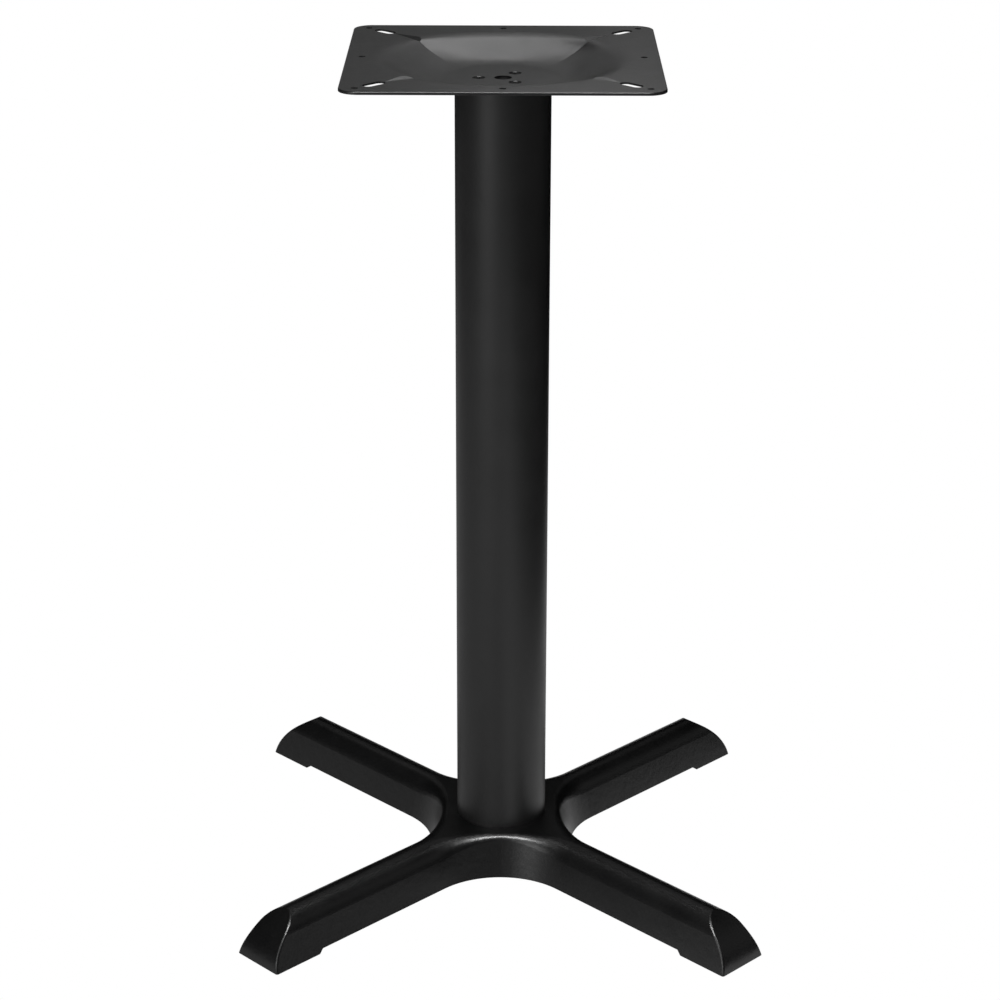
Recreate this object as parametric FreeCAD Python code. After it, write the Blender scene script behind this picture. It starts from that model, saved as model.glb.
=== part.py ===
import FreeCAD, Part
import math
import os

# X shaped table leg: a cast iron cross with a bolted steel column and a pressed steel top plate.
# Millimetres. The floor is z = 0, the column stands on the z axis and the arms run along the diagonals.

# Overall
overall_height = 698.0        # floor to the rim of the top plate
arm_reach = 277.5             # column axis to the tip of an arm, at the floor
arm_angle = 45.0              # turn of the first arm from the x axis, degrees

# Cast cross
arm_height = 38.0             # floor to the crest of an arm and the top of the hub
crest_radius = 17.6           # largest round that fits between an arm's sides and its crest
arm_edge_radius = 17.4        # rounding of an arm's top, which leaves a thin flat on its crest
side_draft = 16.7             # lean of the cast side walls, degrees
web_axis_distance = 127.7     # column axis to the axis of the hollow curve between two arms
hub_edge_radius = 5.0         # rounding of the hub's top edge midway between two arms
arm_wall = 5.0                # thickness of the cast side walls and crest
hub_roof = 8.0                # thickness of the hub under the column
nose_wall = 6.0               # thickness of the arm's sloping end
nose_foot_lean = 0.098        # slope of the arm's end at the floor, run over rise
nose_crest_retreat = 32.2     # how far the arm's end leans back at the crest
nose_edge_radius = 2.0        # rounding round the arm's end
foot_length = 46.0            # length of the foot at each arm's end
foot_drop = 3.3               # how far the foot stands below the rest of the skirt
foot_step_run = 4.0           # length of the slope from the skirt down to the foot
hub_boss_radius = 22.0        # boss for the column bolt
rib_thickness = 5.0           # ribs from the hub's boss to the curved walls
rib_depth = 16.0              # height of those ribs below the hub's roof
spigot_height = 4.0           # ring on the hub that centres the tube
spigot_clearance = 0.4        # radial gap between that ring and the tube

# Column
column_diameter = 76.2
column_wall = 2.0
weld_gap = 0.05               # radial gap between the tube and the discs welded in it
end_plate_thickness = 8.0     # discs welded in the tube's head and foot

# Column bolt, washers and nut
bolt_diameter = 12.0
bolt_length = 50.0
bolt_tip_clear = 2.2          # bolt showing above the nut
bolt_tip_chamfer = 1.0
bolt_head_flats = 18.0
bolt_head_height = 7.5
bolt_clearance = 0.75         # radial gap between the bolt and its plain holes
thread_gap = 0.05             # radial gap between a screw and its tapped hole
washer_diameter = 36.0
washer_thickness = 3.0
spring_washer_width = 3.5
spring_washer_thickness = 2.5
spring_washer_slit = 2.0
nut_flats = 19.0
nut_height = 10.8

# Top plate
plate_width = 245.0
plate_thickness = 1.5
plate_corner_radius = 15.0
rim_edge_height = 2.4         # height of the plate's edge, which is turned down a little
rim_edge_radius = 0.8         # rounding of the plate's top edge
rim_edge_underside_radius = 0.3
dish_depth = 16.2
dish_mouth_radius = 94.0      # column axis to the dish's mouth, square to a side
dish_floor_radius = 53.0      # column axis to the edge of the dish's round floor
lobe_offset = 16.0            # column axis to the middle of the arc of each side of the mouth
wall_bulge = 6.5              # how far the wall's creases stand out beyond a round wall, half way up
mouth_bend_radius = 45.0      # bend between the rim and the dish's wall
mouth_lip_angle = 2.5         # slope that is left where that bend runs out into the rim, degrees
press_overrun = 0.1           # how far the shapes that hollow the sheet reach out of its face
floor_bend_radius = 48.0      # bend between the dish's wall and its floor
dart_half_width = 9.0         # groove from the dish to each corner slot, where it meets the dish
dart_depth = 2.4
dart_overlap = 3.0            # how far inside the mouth's sides that groove starts
slot_length = 21.0
slot_width = 9.0
slot_corner_inset = 37.2      # plate's square corner to the middle of its slot, along the diagonal
rim_hole_diameter = 5.5
rim_hole_inset = 12.5         # plate's side to the middle of a small rim hole
centre_hole_diameter = 14.0

# Head screws
head_screw_count = 3
head_screw_circle = 38.0
head_screw_diameter = 5.0
head_screw_length = 10.0
head_screw_head_diameter = 9.2
head_screw_sink = 0.55        # how far the screws' heads lie below the dish's floor
head_screw_socket_flats = 3.0
head_screw_socket_depth = 1.6
head_screw_angle = 180.0      # place of the first head screw round the column, degrees
countersink_gap = 0.15        # radial gap between a screw's head and its countersink

# Levelling glides
glide_tip_inset = 36.5        # arm's tip at the floor to the axis of its glide
glide_boss_radius = 9.5
glide_stud_diameter = 8.0
glide_stud_top = 30.0         # top of the stud above the floor
glide_hole_spare = 1.5        # depth of the tapped hole above the stud
glide_pad_radius = 13.0
glide_pad_height = 6.0
glide_pad_edge = 1.0          # bevel of the pad's lower edge
glide_collar_radius = 7.0
glide_collar_height = 2.2
glide_floor_gap = 0.5         # height of the pad above the floor when screwed home
glide_seat_gap = 0.3          # gap between the pad's collar and the boss when screwed home
glide_socket_depth = 3.0      # how deep the stud sits in the pad below the pad's top
glide_tip_chamfer = 0.8

ARM_COUNT = 4
FULL_TURN = math.degrees(2 * math.pi)
QUARTER_TURN = FULL_TURN / ARM_COUNT

# Derived sizes
half_plate = plate_width / 2
rim_hole_offset = half_plate - rim_hole_inset
slot_centre_radius = half_plate * math.sqrt(2) - slot_corner_inset
glide_axis_radius = arm_reach - glide_tip_inset
draft = math.radians(side_draft)
crest_centre_z = arm_height - crest_radius
web_tangent_x = web_axis_distance * math.cos(math.pi / ARM_COUNT)
column_radius = column_diameter / 2
tube_inner_radius = column_radius - column_wall
dish_floor_z = overall_height - dish_depth
column_top_z = dish_floor_z - plate_thickness
foot_plate_z = arm_height + spigot_height
nut_z = foot_plate_z + end_plate_thickness
bolt_seat_z = nut_z + nut_height + bolt_tip_clear - bolt_length
spring_washer_z = bolt_seat_z
washer_z = spring_washer_z + spring_washer_thickness
boss_bottom_z = washer_z + washer_thickness
head_plate_z = column_top_z - end_plate_thickness
head_screw_z = dish_floor_z - head_screw_sink
pad_top_z = glide_floor_gap + glide_pad_height
collar_top_z = pad_top_z + glide_collar_height
glide_boss_z = collar_top_z + glide_seat_gap


def vec(x, y, z):
    return FreeCAD.Vector(x, y, z)


ORIGIN = vec(0, 0, 0)
UP = vec(0, 0, 1)


def save(name, shape):
    shape.exportStep("parts/" + name + ".step")


def turned(shape, degrees):
    copy = shape.copy()
    copy.rotate(ORIGIN, UP, degrees)
    return copy


def moved(shape, x, y, z):
    copy = shape.copy()
    copy.translate(vec(x, y, z))
    return copy


def on_arm(shape, index):
    """Turn a shape made along the x axis onto one of the four arms."""
    return turned(shape, arm_angle + QUARTER_TURN * index)


def on_all_arms(shape):
    return [on_arm(shape, index) for index in range(ARM_COUNT)]


def fused(shapes):
    return shapes[0].fuse(shapes[1:]).removeSplitter()


def cylinder(radius, low_z, high_z, x=0.0, y=0.0):
    return Part.makeCylinder(radius, high_z - low_z, vec(x, y, low_z))


def polygon_face(points):
    return Part.Face(Part.makePolygon(points + points[:1]))


def hexagon(flats, low_z, high_z):
    """Six-sided prism about the z axis, measured across its flats."""
    corner = flats / 2 / math.cos(math.pi / 6)
    angles = [math.pi / 3 * index for index in range(6)]
    points = [vec(corner * math.cos(angle), corner * math.sin(angle), low_z) for angle in angles]
    return polygon_face(points).extrude(vec(0, 0, high_z - low_z))


# Cast cross

def half_width(z, inset):
    """Half the width of an arm's drafted sides at a height, moved in by a wall thickness."""
    radius = crest_radius - inset
    tangent_z = crest_centre_z + radius * math.sin(draft)
    return radius * math.cos(draft) + (tangent_z - z) * math.tan(draft)


def arm_section(x, low_z, inset):
    """Section of an arm: two drafted sides and a full round top."""
    radius = crest_radius - inset
    side_y = radius * math.cos(draft)
    side_z = crest_centre_z + radius * math.sin(draft)
    low_y = half_width(low_z, inset)
    low_left = vec(x, -low_y, low_z)
    low_right = vec(x, low_y, low_z)
    left = vec(x, -side_y, side_z)
    right = vec(x, side_y, side_z)
    crest = vec(x, 0, crest_centre_z + radius)
    edges = [
        Part.makeLine(low_left, left),
        Part.Arc(left, crest, right).toShape(),
        Part.makeLine(right, low_right),
        Part.makeLine(low_right, low_left),
    ]
    return Part.Face(Part.Wire(edges))


def nose_cutter(setback):
    """Everything beyond the arm's end, which leaves the floor nearly upright and leans back."""
    foot_x = arm_reach - setback
    span = arm_reach
    low = vec(foot_x, -span, 0)
    lean = vec(foot_x - nose_foot_lean * arm_height / 2, -span, arm_height / 2)
    crest = vec(foot_x - nose_crest_retreat, -span, arm_height)
    curve = Part.BezierCurve()
    curve.setPoles([low, lean, crest])
    far_high = vec(foot_x + span, -span, arm_height)
    far_low = vec(foot_x + span, -span, 0)
    lower = vec(foot_x, -span, -arm_height)
    far_lower = vec(foot_x + span, -span, -arm_height)
    upper = vec(foot_x - nose_crest_retreat, -span, 2 * arm_height)
    far_upper = vec(foot_x + span, -span, 2 * arm_height)
    wires = [
        Part.Wire([curve.toShape(), Part.makeLine(crest, far_high), Part.makeLine(far_high, far_low),
                   Part.makeLine(far_low, low)]),
        Part.makePolygon([low, far_low, far_lower, lower, low]),
        Part.makePolygon([crest, upper, far_upper, far_high, crest]),
    ]
    blocks = [Part.Face(wire).extrude(vec(0, 2 * span, 0)) for wire in wires]
    return fused(blocks)


def web_outline(z, inset):
    """One eighth of the hub in plan: arm centre line, arm side, then the hollow curve's half."""
    width = half_width(z, inset)
    radius = web_tangent_x - width
    centre = vec(web_tangent_x, web_tangent_x, z)
    reach = (web_axis_distance - radius) / math.sqrt(2)
    middle_angle = -math.pi / 2 - math.pi / (2 * ARM_COUNT)
    start = vec(0, 0, z)
    arm_middle = vec(web_tangent_x, 0, z)
    arm_side = vec(web_tangent_x, width, z)
    web_side = vec(reach, reach, z)
    on_curve = centre + vec(radius * math.cos(middle_angle), radius * math.sin(middle_angle), 0)
    return Part.Wire([
        Part.makeLine(start, arm_middle),
        Part.makeLine(arm_middle, arm_side),
        Part.Arc(arm_side, on_curve, web_side).toShape(),
        Part.makeLine(web_side, start),
    ])


def mirrored_pair(piece):
    """A piece beside an arm's centre plane, and its mirror image on the other side."""
    return [piece, piece.mirror(ORIGIN, vec(0, 1, 0))]


def hub_eighth():
    """Hub between an arm's middle and midway to the next, rounded on top more and more to the arm."""
    block = Part.makeLoft([web_outline(0, 0), web_outline(arm_height, 0)], True, True)
    top_arcs = [edge for edge in block.Edges
                if type(edge.Curve).__name__ == "Circle" and edge.BoundBox.ZMin > arm_height / 2]
    return block.makeFillet(arm_edge_radius, hub_edge_radius, top_arcs)


def arm_shape(eighth):
    """One arm along the x axis, drawn out of the hub's end face, with its rounded end."""
    root = [face for face in eighth.Faces
            if face.BoundBox.XLength < 0.01 and abs(face.BoundBox.XMin - web_tangent_x) < 0.01]
    half_arm = root[0].extrude(vec(arm_reach - web_tangent_x, 0, 0))
    arm = fused(mirrored_pair(half_arm)).cut(nose_cutter(0))
    crest_x = arm_reach - nose_crest_retreat
    nose_edges = [edge for edge in arm.Edges
                  if edge.BoundBox.XMax > crest_x and edge.BoundBox.XMin > web_tangent_x + 1
                  and edge.BoundBox.ZMax > 1]
    return arm.makeFillet(nose_edge_radius, nose_edges)


def outer_shape():
    """The hub and its arms before they are hollowed."""
    eighth = hub_eighth()
    pieces = on_all_arms(arm_shape(eighth))
    for half in mirrored_pair(eighth):
        pieces += on_all_arms(half)
    return fused(pieces)


def hollow_shape():
    """The space under the hub and in the arms, open to the floor."""
    below = -1.0
    roof_z = arm_height - hub_roof
    eighth = Part.makeLoft([web_outline(below, arm_wall), web_outline(roof_z, arm_wall)], True, True)
    length = arm_reach - web_tangent_x
    channel = arm_section(web_tangent_x, below, arm_wall).extrude(vec(length, 0, 0))
    channel = channel.cut(nose_cutter(nose_wall))
    pieces = on_all_arms(channel)
    for half in mirrored_pair(eighth):
        pieces += on_all_arms(half)
    return fused(pieces)


def hollow_cores():
    """Boss, ribs and glide bosses, which stay solid inside the hollow."""
    roof_z = arm_height - hub_roof
    pieces = [cylinder(hub_boss_radius, boss_bottom_z, arm_height)]
    rib_x = hub_boss_radius - 1
    rib = Part.makeBox(web_axis_distance - rib_x, rib_thickness, rib_depth + hub_roof,
                       vec(rib_x, -rib_thickness / 2, roof_z - rib_depth))
    rib = turned(rib, arm_angle)
    pieces += on_all_arms(rib)
    pieces += on_all_arms(cylinder(glide_boss_radius, glide_boss_z, arm_height, glide_axis_radius))
    return fused(pieces)


def skirt_relief():
    """The gap between the floor and the skirt, which ends at the foot of each arm."""
    foot_x = arm_reach - foot_length
    side = web_axis_distance / 2
    profile = [vec(0, -side, -1), vec(foot_x, -side, -1), vec(foot_x, -side, 0),
               vec(foot_x - foot_step_run, -side, foot_drop), vec(0, -side, foot_drop)]
    return fused(on_all_arms(polygon_face(profile).extrude(vec(0, 2 * side, 0))))


def cross_base():
    """The whole casting: four arms, hub, centring ring, boss and ribs."""
    spigot_radius = tube_inner_radius - spigot_clearance
    outer = outer_shape().fuse(cylinder(spigot_radius, arm_height - 1, foot_plate_z))
    hollow = hollow_shape().cut(hollow_cores())
    bolt_hole = cylinder(bolt_diameter / 2 + bolt_clearance, 0, foot_plate_z + 1)
    stud_hole = cylinder(glide_stud_diameter / 2 + thread_gap, 0, glide_stud_top + glide_hole_spare,
                         glide_axis_radius)
    body = outer.cut([hollow, skirt_relief(), bolt_hole] + on_all_arms(stud_hole))
    return body.removeSplitter()


# Column

def column_tube():
    outer = cylinder(column_radius, arm_height, column_top_z)
    return outer.cut(cylinder(tube_inner_radius, arm_height - 1, column_top_z + 1))


def head_screw_places():
    """Centre and turn of each head screw."""
    radius = head_screw_circle / 2
    step = FULL_TURN / head_screw_count
    angles = [math.radians(head_screw_angle + step * index) for index in range(head_screw_count)]
    return [(radius * math.cos(angle), radius * math.sin(angle)) for angle in angles]


def countersink(x, y):
    """The space round a head screw's head, up to the dish's floor."""
    head = head_screw_head_diameter / 2 + countersink_gap
    mouth = head + head_screw_sink + countersink_gap
    return Part.makeCone(0, mouth, mouth, vec(x, y, head_screw_z - head))


def column_head_plate():
    """Disc welded in the tube's head, countersunk and tapped for the head screws."""
    disc = cylinder(tube_inner_radius - weld_gap, head_plate_z, column_top_z)
    holes = [cylinder(centre_hole_diameter / 2, head_plate_z - 1, column_top_z + 1)]
    for x, y in head_screw_places():
        tapped_radius = head_screw_diameter / 2 + thread_gap
        holes.append(cylinder(tapped_radius, head_plate_z - 1, column_top_z + 1, x, y))
        holes.append(countersink(x, y))
    return disc.cut(holes)


def column_foot_plate():
    """Disc welded in the tube just above the hub's ring, drilled for the column bolt."""
    disc = cylinder(tube_inner_radius - weld_gap, foot_plate_z, nut_z)
    return disc.cut(cylinder(bolt_diameter / 2 + bolt_clearance, foot_plate_z - 1, nut_z + 1))


# Column bolt, washers and nut

def chamfer_cone(flats, low_z, high_z, point_up):
    """Cone that takes the corners off a hexagon at its outer face."""
    drop = (2 / math.sqrt(3) - 1) * flats / 2
    height = high_z - low_z
    wide = flats / 2 + height + drop
    if point_up:
        return Part.makeCone(wide, flats / 2, height + drop, vec(0, 0, low_z - drop))
    return Part.makeCone(flats / 2, wide, height + drop, vec(0, 0, low_z))


def base_bolt():
    """Hexagon bolt that pulls the column down onto the hub."""
    low_z = bolt_seat_z - bolt_head_height
    head = hexagon(bolt_head_flats, low_z, bolt_seat_z)
    head = head.common(chamfer_cone(bolt_head_flats, low_z, bolt_seat_z, False))
    shank = cylinder(bolt_diameter / 2, bolt_seat_z - 1, bolt_seat_z + bolt_length)
    tip = [edge for edge in shank.Edges if edge.BoundBox.ZMin > bolt_seat_z]
    return head.fuse(shank.makeChamfer(bolt_tip_chamfer, tip)).removeSplitter()


def column_foot_nut():
    """Hexagon nut welded on the foot plate."""
    top_z = nut_z + nut_height
    body = hexagon(nut_flats, nut_z, top_z).common(chamfer_cone(nut_flats, nut_z, top_z, True))
    return body.cut(cylinder(bolt_diameter / 2 + thread_gap, nut_z - 1, top_z + 1))


def base_washer():
    bore = bolt_diameter / 2 + bolt_clearance
    disc = cylinder(washer_diameter / 2, washer_z, boss_bottom_z)
    return disc.cut(cylinder(bore, washer_z - 1, boss_bottom_z + 1))


def spring_washer():
    """Split ring, pressed flat under the bolt's head."""
    bore = bolt_diameter / 2 + thread_gap
    outer = bore + spring_washer_width
    ring = cylinder(outer, spring_washer_z, washer_z)
    ring = ring.cut(cylinder(bore, spring_washer_z - 1, washer_z + 1))
    slit = Part.makeBox(2 * outer, spring_washer_slit, 2 * spring_washer_thickness,
                        vec(0, -spring_washer_slit / 2, spring_washer_z - 1))
    return ring.cut(slit)


# Top plate

def rounded_block(inset, low_z, high_z):
    """Square block with rounded corners, inside the plate's outline by inset."""
    half = half_plate - inset
    block = Part.makeBox(2 * half, 2 * half, high_z - low_z, vec(-half, -half, low_z))
    uprights = [edge for edge in block.Edges if edge.BoundBox.ZLength > 0.1]
    return block.makeFillet(plate_corner_radius - inset, uprights)


def edges_at(shape, z):
    return [edge for edge in shape.Edges
            if edge.BoundBox.ZLength < 0.01 and abs(edge.BoundBox.ZMin - z) < 0.01]


def flat_blank():
    """The square sheet before its dish is pressed, with its edge turned down a little."""
    blank = rounded_block(0, -rim_edge_height, 0)
    blank = blank.makeFillet(rim_edge_radius, edges_at(blank, 0))
    blank = blank.makeFillet(rim_edge_underside_radius, edges_at(blank, -rim_edge_height))
    return blank.cut(rounded_block(plate_thickness, -2 * rim_edge_height, -plate_thickness))


def dish_corner_radius():
    """Column axis to the corner of the dish's mouth, where two sides meet on a diagonal."""
    mouth_r = lobe_offset + dish_mouth_radius
    return (math.sqrt(2 * mouth_r ** 2 - lobe_offset ** 2) - lobe_offset) / math.sqrt(2)


def dish_stations():
    """Distance from the column axis and height over the rim of the dish, up the middle of a side."""
    wall_angle = math.atan2(dish_depth, dish_mouth_radius - dish_floor_radius)
    lip = math.radians(mouth_lip_angle)
    floor_start = dish_floor_radius - floor_bend_radius * math.tan(wall_angle / 2)
    mouth_end = dish_mouth_radius + mouth_bend_radius * math.tan(wall_angle / 2)
    steps = 6
    stations = []
    for step in range(steps + 1):
        turn = wall_angle * step / steps
        stations.append((floor_start + floor_bend_radius * math.sin(turn),
                         floor_bend_radius * (1 - math.cos(turn)) - dish_depth))
    bend = []
    for step in range(steps + 1):
        turn = wall_angle + (lip - wall_angle) * step / steps
        bend.append((mouth_end - mouth_bend_radius * math.sin(turn),
                     mouth_bend_radius * (math.cos(turn) - 1)))
    low_r, low_z = stations[-1]
    high_r, high_z = bend[0]
    for step in range(1, steps):
        share = step / steps
        stations.append((low_r + share * (high_r - low_r), low_z + share * (high_z - low_z)))
    end_r, end_z = bend[-1]
    bend.append((end_r + (press_overrun - end_z) / math.tan(lip), press_overrun))
    return stations + bend


def dish_ring(middle, z):
    """Level outline of the dish: round at the floor, then four flat arcs that meet at corners."""
    climb = (middle - dish_floor_radius) / (dish_mouth_radius - dish_floor_radius)
    climb = min(max(climb, 0), 1)
    mouth_spread = dish_corner_radius() - dish_mouth_radius
    corner = middle + climb * mouth_spread + wall_bulge * math.sin(math.pi * climb)
    edges = []
    for index in range(ARM_COUNT):
        low = math.radians(QUARTER_TURN * index - QUARTER_TURN / 2)
        mid = math.radians(QUARTER_TURN * index)
        high = math.radians(QUARTER_TURN * index + QUARTER_TURN / 2)
        points = [vec(radius * math.cos(angle), radius * math.sin(angle), z)
                  for radius, angle in ((corner, low), (middle, mid), (corner, high))]
        edges.append(Part.Arc(*points).toShape())
    return Part.Wire(edges)


def dish_space(drop):
    """The inside of the dish, lowered by drop: a round floor drawn out into four sides."""
    return Part.makeLoft([dish_ring(middle, z - drop) for middle, z in dish_stations()], True, False)


def dart(drop):
    """Long pointed groove in the rim, from the dish to a corner slot, along the x axis."""
    inner_x = dish_mouth_radius - dart_overlap
    length = slot_centre_radius - slot_length / 2 - inner_x
    grow = 1 + press_overrun / dart_depth
    top_z = press_overrun - drop
    tip = vec(inner_x + length * grow, 0, top_z)
    left = vec(inner_x, -dart_half_width * grow, top_z)
    right = vec(inner_x, dart_half_width * grow, top_z)
    bottom = vec(inner_x, 0, -dart_depth - drop)
    faces = [polygon_face([left, right, tip]), polygon_face([left, bottom, tip]),
             polygon_face([right, bottom, tip]), polygon_face([left, right, bottom])]
    return Part.Solid(Part.Shell(faces))


def pressed_sheet():
    """The sheet with its dish and grooves, its rim's face at z = 0."""
    outside = [dish_space(plate_thickness)] + on_all_arms(dart(plate_thickness))
    inside = [dish_space(0)] + on_all_arms(dart(0))
    return flat_blank().fuse(outside).cut(inside)


def corner_slot():
    """Slot along a diagonal, made along the x axis."""
    low_z = column_top_z
    height = overall_height + 1 - low_z
    radius = slot_width / 2
    straight = slot_length - slot_width
    low_x = slot_centre_radius - straight / 2
    bar = Part.makeBox(straight, slot_width, height, vec(low_x, -radius, low_z))
    ends = [cylinder(radius, low_z, low_z + height, low_x + along) for along in (0, straight)]
    return fused([bar] + ends)


def rim_holes():
    rows = (-rim_hole_offset, 0, rim_hole_offset)
    places = [(x, y) for x in rows for y in rows if (x, y) != (0, 0)]
    return [cylinder(rim_hole_diameter / 2, column_top_z, overall_height + 1, x, y) for x, y in places]


def countersunk_holes():
    """Holes in the dish's floor for the head screws' shanks and sunk heads."""
    through = head_screw_diameter / 2 + countersink_gap
    return [countersink(x, y).fuse(cylinder(through, column_top_z - 1, head_screw_z, x, y))
            for x, y in head_screw_places()]


def top_plate():
    """Square pressing with a round floored, four sided dish and a groove to each corner slot."""
    plate = moved(pressed_sheet(), 0, 0, overall_height)
    centre_hole = cylinder(centre_hole_diameter / 2, column_top_z - 1, overall_height)
    plate = plate.cut(on_all_arms(corner_slot()) + rim_holes() + countersunk_holes() + [centre_hole])
    return plate.removeSplitter()


def head_screw(x, y):
    """Countersunk screw with a hexagon socket, its head sunk a little in the dish's floor."""
    head_radius = head_screw_head_diameter / 2
    shank_radius = head_screw_diameter / 2
    cone = Part.makeCone(0, head_radius, head_radius, vec(0, 0, head_screw_z - head_radius))
    shank = cylinder(shank_radius, head_screw_z - head_screw_length, head_screw_z - head_radius / 2)
    socket = hexagon(head_screw_socket_flats, head_screw_z - head_screw_socket_depth, head_screw_z + 1)
    return moved(cone.fuse(shank).cut(socket).removeSplitter(), x, y, 0)


# Levelling glides

def glide_stud():
    """Threaded stud moulded into the pad and screwed into the arm's boss."""
    stud = cylinder(glide_stud_diameter / 2, pad_top_z - glide_socket_depth, glide_stud_top,
                    glide_axis_radius)
    tip = [edge for edge in stud.Edges if edge.BoundBox.ZMin > pad_top_z]
    return stud.makeChamfer(glide_tip_chamfer, tip)


def glide_pad():
    """Round nylon foot with a collar, bored for the stud."""
    disc = cylinder(glide_pad_radius, glide_floor_gap, pad_top_z, glide_axis_radius)
    lower = [edge for edge in disc.Edges if edge.BoundBox.ZMax < glide_floor_gap + 0.01]
    disc = disc.makeChamfer(glide_pad_edge, lower)
    collar = cylinder(glide_collar_radius, pad_top_z - 1, collar_top_z, glide_axis_radius)
    bore = cylinder(glide_stud_diameter / 2 + thread_gap, pad_top_z - glide_socket_depth,
                    collar_top_z + 1, glide_axis_radius)
    return disc.fuse(collar).cut(bore).removeSplitter()


os.makedirs("parts", exist_ok=True)
save("cross_base", cross_base())
save("column_tube", column_tube())
save("column_head_plate", column_head_plate())
save("column_foot_plate", column_foot_plate())
save("column_foot_nut", column_foot_nut())
save("base_bolt", base_bolt())
save("base_washer", base_washer())
save("spring_washer", spring_washer())
save("top_plate", top_plate())
for number, (screw_x, screw_y) in enumerate(head_screw_places(), start=1):
    save("head_screw_%d" % number, head_screw(screw_x, screw_y))
for index in range(ARM_COUNT):
    save("glide_stud_%d" % (index + 1), on_arm(glide_stud(), index))
    save("glide_pad_%d" % (index + 1), on_arm(glide_pad(), index))
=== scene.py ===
import math
import bpy
import numpy as np
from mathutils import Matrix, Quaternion, Vector


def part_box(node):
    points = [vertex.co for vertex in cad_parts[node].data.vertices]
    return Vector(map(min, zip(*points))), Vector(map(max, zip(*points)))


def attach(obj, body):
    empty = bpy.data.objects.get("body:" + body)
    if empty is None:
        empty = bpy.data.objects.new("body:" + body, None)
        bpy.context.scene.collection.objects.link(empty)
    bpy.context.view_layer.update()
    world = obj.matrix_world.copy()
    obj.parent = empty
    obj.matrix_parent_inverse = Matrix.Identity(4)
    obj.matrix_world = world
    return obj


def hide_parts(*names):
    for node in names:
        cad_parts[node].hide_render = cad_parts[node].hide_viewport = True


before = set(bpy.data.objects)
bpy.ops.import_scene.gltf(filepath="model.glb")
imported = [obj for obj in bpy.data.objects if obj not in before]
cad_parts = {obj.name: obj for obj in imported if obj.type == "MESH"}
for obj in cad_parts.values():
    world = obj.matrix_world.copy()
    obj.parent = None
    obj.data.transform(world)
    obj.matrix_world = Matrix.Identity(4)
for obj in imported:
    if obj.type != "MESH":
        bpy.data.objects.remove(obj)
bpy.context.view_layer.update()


# The cast cross: one grey iron casting, four hollow arms running out of a hub. It is blasted clean and
# powder coated semi-gloss black, so a fine cast grain stands through an even, slightly rippled coat.

class Value:
    """A number that varies over a surface. Arithmetic on it adds Math nodes to its finish."""

    def __init__(self, finish, socket):
        self.finish = finish
        self.socket = socket

    def math(self, operation, *terms):
        settings = {"operation": operation}
        return self.finish.add("ShaderNodeMath", settings, dict(enumerate(terms)))

    def __add__(self, other):
        return self.math("ADD", self, other)

    def __radd__(self, other):
        return self.math("ADD", other, self)

    def __sub__(self, other):
        return self.math("SUBTRACT", self, other)

    def __rsub__(self, other):
        return self.math("SUBTRACT", other, self)

    def __mul__(self, other):
        return self.math("MULTIPLY", self, other)

    def __rmul__(self, other):
        return self.math("MULTIPLY", other, self)


class Finish:
    """One procedural material, built node by node."""

    def __init__(self, name):
        self.material = bpy.data.materials.new(name)
        self.material.use_nodes = True
        self.tree = self.material.node_tree
        self.tree.nodes.clear()
        self.place = self.add("ShaderNodeTexCoord", {}, {}, "Object")

    def add(self, kind, settings, inputs, output=0):
        """A node of this kind: its settings first, then the value or link of each socket named."""
        node = self.tree.nodes.new(kind)
        for key, value in settings.items():
            setattr(node, key, value)
        for key, value in inputs.items():
            if isinstance(value, Value):
                self.tree.links.new(value.socket, node.inputs[key])
            else:
                node.inputs[key].default_value = value
        return Value(self, node.outputs[output])

    def noise(self, size, detail=2.0, roughness=0.5):
        """Soft noise from 0 to 1 whose blotches are about size metres across."""
        inputs = {"Vector": self.place, "Scale": 1.0 / size, "Detail": detail, "Roughness": roughness}
        return self.add("ShaderNodeTexNoise", {}, inputs, "Fac")

    def shade(self, amount, dark, light):
        """Colour between dark, where the amount is 0, and light, where it is 1."""
        inputs = {0: amount, 6: (*dark, 1.0), 7: (*light, 1.0)}
        return self.add("ShaderNodeMix", {"data_type": "RGBA"}, inputs, 2)

    def bump(self, height, distance, under=None):
        """Normal of a surface that rises by height times distance metres, over an earlier one."""
        inputs = {"Height": height, "Distance": distance}
        if under is not None:
            inputs["Normal"] = under
        return self.add("ShaderNodeBump", {}, inputs, "Normal")

    def close(self, inputs):
        """The finished material: a principled shader with these sockets."""
        shader = self.add("ShaderNodeBsdfPrincipled", {}, inputs)
        out = self.tree.nodes.new("ShaderNodeOutputMaterial")
        self.tree.links.new(shader.socket, out.inputs["Surface"])
        return self.material


def powder_coat(name, dark, light, roughness, grain_size, grain_height, ripple_height):
    """Black powder coat: fine grain and a wide ripple in the normal, mottled shade and gloss."""
    mottle_size, ripple_size = 0.03, 0.006
    finish = Finish(name)
    mottle = finish.noise(mottle_size, detail=3.0)
    grain = finish.noise(grain_size, detail=3.0, roughness=0.6)
    ripple = finish.noise(ripple_size, detail=1.0)
    normal = finish.bump(ripple, ripple_height)
    normal = finish.bump(grain, grain_height, under=normal)
    return finish.close({
        "Base Color": finish.shade(mottle * 0.6 + grain * 0.4, dark, light),
        "Roughness": roughness + (mottle - 0.5) * 0.1 + (grain - 0.5) * 0.12,
        "Normal": normal,
    })


def dress(names, material):
    """Give each node this material."""
    for name in names:
        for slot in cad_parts[name].material_slots:
            slot.material = material


cast_coat = powder_coat(
    "cast_black_coat", dark=(0.0045, 0.0045, 0.0047), light=(0.01, 0.01, 0.0102), roughness=0.33,
    grain_size=0.0012, grain_height=0.00008, ripple_height=0.00012)
dress(["cross_base"], cast_coat)


# The column: round steel tube, cut square and powder coated satin black. The coat is finer and
# flatter than the casting's because drawn tube is smooth.

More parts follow.
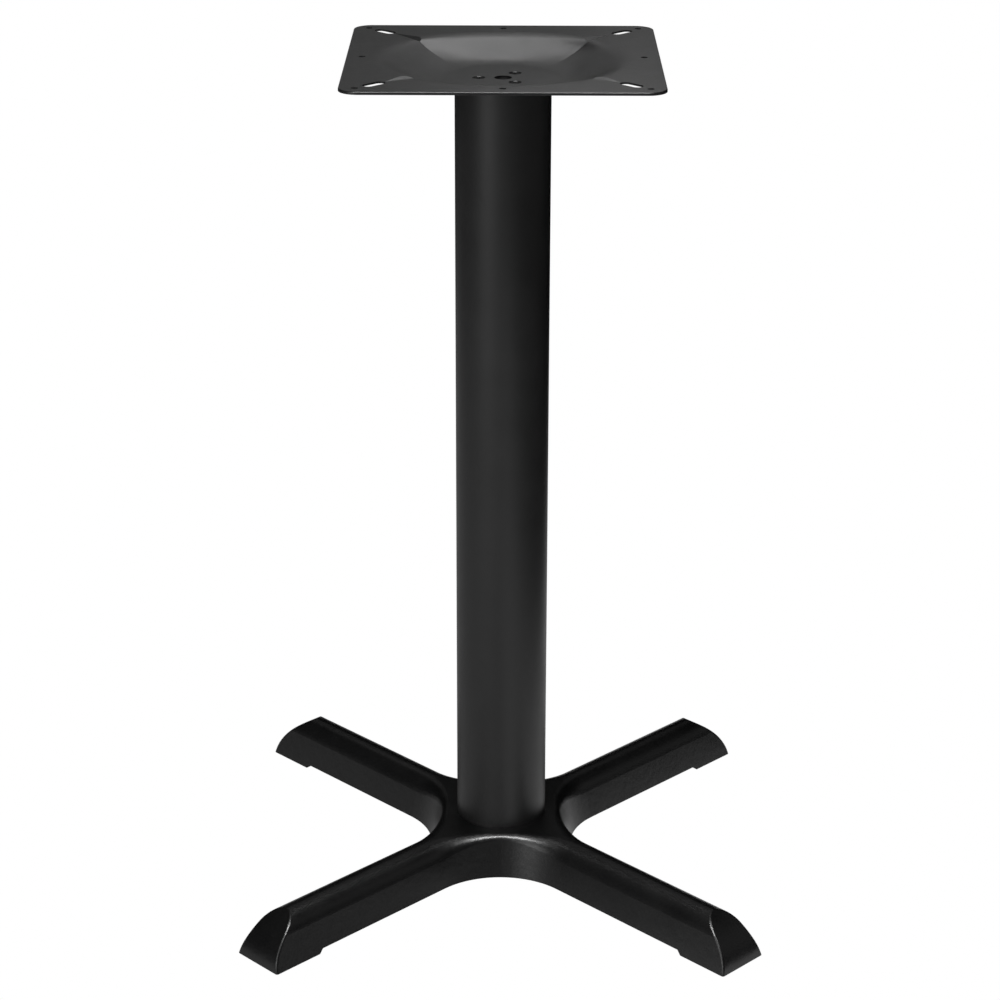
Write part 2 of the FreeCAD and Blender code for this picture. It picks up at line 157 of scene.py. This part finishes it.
tube_coat = powder_coat(
    "tube_black_coat", dark=(0.008, 0.008, 0.0082), light=(0.013, 0.013, 0.0132), roughness=0.45,
    grain_size=0.0007, grain_height=0.00003, ripple_height=0.00004)
dress(["column_tube"], tube_coat)


# The discs welded in the tube's ends and the nut welded on the lower one: plain steel, primed black
# before assembly. Of these only the upper disc shows, under the holes in the dish's floor.

primer = powder_coat(
    "inner_primer", dark=(0.01, 0.01, 0.01), light=(0.02, 0.02, 0.02), roughness=0.6,
    grain_size=0.0015, grain_height=0.00005, ripple_height=0.0001)
dress(["column_head_plate", "column_foot_plate", "column_foot_nut"], primer)


# The bolt that holds the column down, with its spring washer and wide washer: steel, zinc plated
# bright. The bolt goes up through the hub from below, into the nut on the tube's foot.

def zinc_plate(name):
    """Bright zinc on steel: metal with cloudy gloss and faint scratches."""
    finish = Finish(name)
    cloud = finish.noise(0.004, detail=4.0)
    fine = finish.noise(0.0006, detail=2.0)
    return finish.close({
        "Base Color": finish.shade(cloud, (0.42, 0.42, 0.4), (0.66, 0.66, 0.63)),
        "Metallic": 1.0,
        "Roughness": 0.28 + cloud * 0.15,
        "Normal": finish.bump(fine, 0.00003),
    })


zinc = zinc_plate("bright_zinc")
dress(["base_bolt", "spring_washer", "base_washer"], zinc)


# The top plate: sheet steel pressed to a shallow four sided dish, pierced, and powder coated with a
# slightly coarser black than the column.

plate_coat = powder_coat(
    "plate_black_coat", dark=(0.009, 0.009, 0.0092), light=(0.02, 0.02, 0.0202), roughness=0.33,
    grain_size=0.0009, grain_height=0.00004, ripple_height=0.00006)
dress(["top_plate"], plate_coat)


# The three screws sunk in the dish's floor: countersunk socket screws in dry black oxide. They hold
# the plate down on the disc in the tube's head.

def black_oxide(name):
    """Black oxide: a dry, nearly black skin with hardly any sheen."""
    finish = Finish(name)
    cloud = finish.noise(0.002, detail=3.0)
    return finish.close({
        "Base Color": finish.shade(cloud, (0.004, 0.004, 0.0045), (0.01, 0.01, 0.0105)),
        "Specular IOR Level": 0.12,
        "Roughness": 0.6 + cloud * 0.2,
    })


oxide = black_oxide("black_oxide_steel")
dress(["head_screw_1", "head_screw_2", "head_screw_3"], oxide)


# The four levelling glides: zinc plated studs moulded into black nylon pads and screwed up into the
# arm ends. They turn out by hand when the floor is uneven.

def nylon(name):
    """Moulded black nylon: matt, with a fine spark eroded texture."""
    finish = Finish(name)
    fine = finish.noise(0.0005, detail=2.0)
    wide = finish.noise(0.01, detail=2.0)
    return finish.close({
        "Base Color": finish.shade(wide, (0.012, 0.012, 0.012), (0.022, 0.022, 0.022)),
        "Roughness": 0.5 + (fine - 0.5) * 0.2,
        "Normal": finish.bump(fine, 0.00004),
    })


def threaded_stud(name, node, pitch, bevel):
    """A rod with the size and place of a plain CAD stud, cut with a thread.

    Going up z and round by the angle a, the phase of the thread is z / pitch - a / 2 pi. Its distance
    from the nearest whole number, from 0 to 0.5, gives the depth of the groove: none up to the half
    crest and the full depth past the flank, which is straight. Both ends are bevelled and closed.
    """
    rows_per_turn, columns = 12, 48
    half_crest, flank = 0.07, 0.31
    depth = 0.61 * pitch
    low, high = (np.array(corner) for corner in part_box(node))
    centre, radius = (low + high) / 2, (high[0] - low[0]) / 2
    rows = round((high[2] - low[2]) / pitch * rows_per_turn)
    z = np.linspace(low[2], high[2], rows + 1)[:, None]
    a = np.linspace(0, 2 * np.pi, columns, endpoint=False)[None, :]
    phase = (z - low[2]) / pitch - a / (2 * np.pi)
    groove = np.clip((np.abs(phase - np.round(phase)) - half_crest) / flank, 0, 1) * depth
    end = np.minimum(z - low[2], high[2] - z)
    r = np.minimum(radius - groove, radius - bevel + end)
    ring = np.stack([centre[0] + r * np.cos(a), centre[1] + r * np.sin(a), z + 0 * a], axis=2)
    poles = [(centre[0], centre[1], low[2]), (centre[0], centre[1], high[2])]
    points = np.vstack([ring.reshape(-1, 3), poles])
    step = np.arange(columns)
    after = (step + 1) % columns
    row = np.arange(rows)[:, None] * columns
    quads = np.stack([row + step, row + after, row + columns + after, row + columns + step], axis=2)
    first, last = np.full(columns, len(points) - 2), np.full(columns, len(points) - 1)
    bottom = np.stack([first, after, step], axis=1)
    top = np.stack([last, rows * columns + step, rows * columns + after], axis=1)
    mesh = bpy.data.meshes.new(name)
    mesh.from_pydata(points.tolist(), [], quads.reshape(-1, 4).tolist() + bottom.tolist() + top.tolist())
    mesh.shade_smooth()
    mesh.materials.append(zinc)
    stud = bpy.data.objects.new(name, mesh)
    bpy.context.scene.collection.objects.link(stud)
    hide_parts(node)
    return stud


thread_pitch, end_bevel = 0.00125, 0.0008
nylon_black = nylon("nylon_black_moulded")
for number in (1, 2, 3, 4):
    stud = threaded_stud("glide_thread_%d" % number, "glide_stud_%d" % number, thread_pitch, end_bevel)
    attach(stud, "glide_%d" % number)
    dress(["glide_pad_%d" % number], nylon_black)


# The studio: a plain white floor and surround, and white paper on both sides of the stand for its
# coats to reflect. A large soft box lights it from the front left, a weak one from the right and
# small ones the plate from behind, and two small lamps high in front give the edges their glint.

def glowing(name, strength):
    """White surface that gives off an even light."""
    finish = Finish(name)
    return finish.close({
        "Base Color": (0.0, 0.0, 0.0, 1.0),
        "Roughness": 1.0,
        "Specular IOR Level": 0.0,
        "Emission Color": (1.0, 1.0, 1.0, 1.0),
        "Emission Strength": strength,
    })


def ground(name, low, high, z, strength, camera=False, matt=False, glossy=False):
    """Flat glowing rectangle below the stand, seen only by the rays named."""
    mesh = bpy.data.meshes.new(name)
    corners = [(low[0], low[1], z), (high[0], low[1], z), (high[0], high[1], z), (low[0], high[1], z)]
    mesh.from_pydata(corners, [], [(0, 1, 2, 3)])
    mesh.materials.append(glowing(name, strength))
    piece = bpy.data.objects.new(name, mesh)
    piece.visible_camera = camera
    piece.visible_diffuse = matt
    piece.visible_glossy = glossy
    bpy.context.scene.collection.objects.link(piece)


def soft_box(name, azimuth, elevation, distance, size, power, aim, matt=True):
    """Rectangular lamp turned towards aim, which lights gloss only where matt is False.

    Azimuth 0 is the camera's side and 90 the right, in degrees. Sizes are in metres, power in watts.
    """
    lamp = bpy.data.lights.new(name, "AREA")
    lamp.shape = "RECTANGLE"
    lamp.size, lamp.size_y = size
    lamp.energy = power
    box = bpy.data.objects.new(name, lamp)
    a, e = math.radians(azimuth), math.radians(elevation)
    away = Vector((math.sin(a) * math.cos(e), -math.cos(a) * math.cos(e), math.sin(e)))
    box.location = Vector(aim) + away * distance
    box.rotation_mode = "QUATERNION"
    box.rotation_quaternion = away.to_track_quat("Z", "Y")
    box.visible_camera = False
    box.visible_diffuse = matt
    bpy.context.scene.collection.objects.link(box)


# The floor lies just under the lowest place of the glides. Its glow and the papers, which the camera
# doesn't see, lie a hair below it.
glide_travel, sheet_gap = 0.01, 0.0005
floor_height = -glide_travel - sheet_gap
glow_height = floor_height - sheet_gap
paper_height = glow_height - sheet_gap
ground("studio_floor", (-12, -12), (12, 12), floor_height, 1.0, camera=True)
ground("studio_floor_glow", (-12, -12), (12, 12), glow_height, 1.4, matt=True)
ground("paper_left", (-1.4, -1.6), (-0.02, 1.6), paper_height, 0.40, glossy=True)
ground("paper_right", (0.02, -1.6), (0.45, 1.6), paper_height, 0.79, glossy=True)

column_middle, plate_middle = (0, 0, 0.35), (0, 0, 0.69)
soft_box("box_front_left", -30, 20, 2.6, (1.2, 1.6), 13.8, column_middle)
soft_box("box_front_left_low", -38, 8, 2.6, (1.2, 1.0), 7.6, column_middle)
soft_box("box_right", 90, 20, 2.6, (1.2, 1.6), 1.44, column_middle)
soft_box("box_back_high", 168, 50, 0.5, (0.22, 0.17), 0.50, plate_middle)
soft_box("box_back_middle", 180, 30, 1.0, (0.4, 0.25), 0.155, plate_middle)
soft_box("box_back_low", 180, 13, 1.1, (0.9, 0.25), 0.13, plate_middle)
soft_box("box_back_low_right", 165, 13, 1.1, (0.35, 0.25), 0.034, plate_middle)
soft_box("box_back_low_left", 202, 12, 1.1, (0.35, 0.25), 0.100, plate_middle)
soft_box("box_glint_left", -22, 64, 2.6, (0.3, 0.3), 62.0, column_middle, matt=False)
soft_box("box_glint_right", 20, 64, 2.6, (0.3, 0.3), 52.0, column_middle, matt=False)

surround = bpy.data.worlds.new("white_surround")
bpy.context.scene.world = surround
surround.use_nodes = True
surround.node_tree.nodes["Background"].inputs["Color"].default_value = (1.0, 1.0, 1.0, 1.0)
surround.cycles_visibility.diffuse = False
surround.cycles_visibility.glossy = False


# The camera: two metres in front and nearly half a metre higher than the plate, looking down on the
# whole stand. It is turned and rolled by a fraction of a degree, as the photograph was taken.

camera = bpy.data.objects.new("camera", bpy.data.cameras.new("camera"))
camera.data.lens = 95.30
camera.data.sensor_width = 36.0
camera.location = (0.0055, -2.0466, 1.1376)
turn_degrees, downward_degrees, roll_degrees = 0.2, 21.624, 0.14
turn = Quaternion((0, 0, 1), math.radians(turn_degrees))
tilt = Quaternion((1, 0, 0), math.radians(90 - downward_degrees))
roll = Quaternion((0, 0, 1), math.radians(roll_degrees))
camera.rotation_mode = "QUATERNION"
camera.rotation_quaternion = turn @ tilt @ roll
bpy.context.scene.collection.objects.link(camera)
bpy.context.scene.camera = camera
bpy.context.scene.view_settings.view_transform = "Standard"
